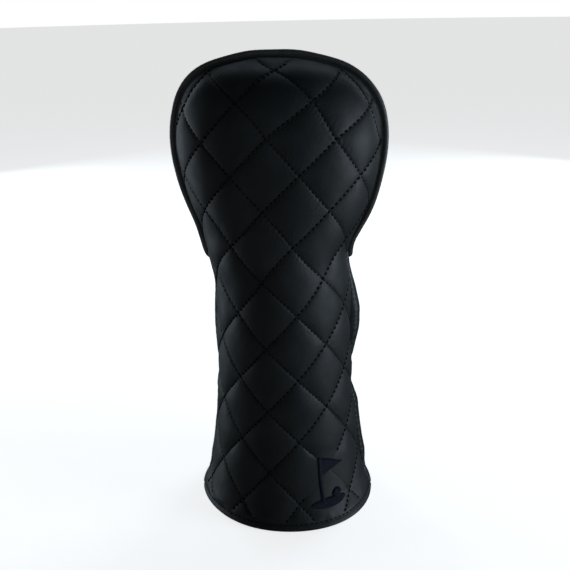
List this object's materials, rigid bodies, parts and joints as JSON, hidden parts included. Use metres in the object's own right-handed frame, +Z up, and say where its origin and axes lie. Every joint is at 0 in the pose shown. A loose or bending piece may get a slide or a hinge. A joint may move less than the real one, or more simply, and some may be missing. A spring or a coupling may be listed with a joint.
{
  "type": "driver head cover",
  "caption": "Padded leather cover for the head of a golf driver, with a quilted front, a piped head seam and a flared sleeve for the shaft.",
  "frame": {"origin": "centre of the mouth, on the plane that the hem stands on", "axes": "+Z up from the mouth to the crown, -Y towards the quilted front, +X to the right seen from the front"},
  "size_m": [0.1472, 0.128, 0.3286],
  "materials": {
    "quilted_leather": "smooth matt black artificial leather, fine grain",
    "smooth_leather": "smooth matt black artificial leather, fine grain",
    "piping_leather": "black artificial leather, drawn tight round a cord",
    "wadding": "soft polyester wadding",
    "lining": "short-pile black fleece",
    "black_thread": "black polyester sewing thread",
    "elastic": "ribbed woven elastic",
    "cord": "twisted cotton filler cord",
    "navy_thread": "dark navy satin-stitch embroidery",
    "stabiliser": "non-woven tear-away stabiliser"
  },
  "bodies": {
    "root": {"front_leather": "quilted_leather", "back_head_leather": "smooth_leather", "back_sleeve_leather": "smooth_leather", "front_wadding": "wadding", "back_head_wadding": "wadding", "back_sleeve_wadding": "wadding", "front_lining": "lining", "back_lining": "lining", "hem_facing": "smooth_leather", "hem_stitching": "black_thread", "neck_elastic": "elastic", "elastic_stitching": "black_thread", "piping_cord": "cord", "piping_cover": "piping_leather", "piping_seam_allowance": "piping_leather", "quilting_rising": "black_thread", "quilting_falling": "black_thread", "emblem_embroidery": "navy_thread", "emblem_backing": "stabiliser"}
  },
  "joints": []
}
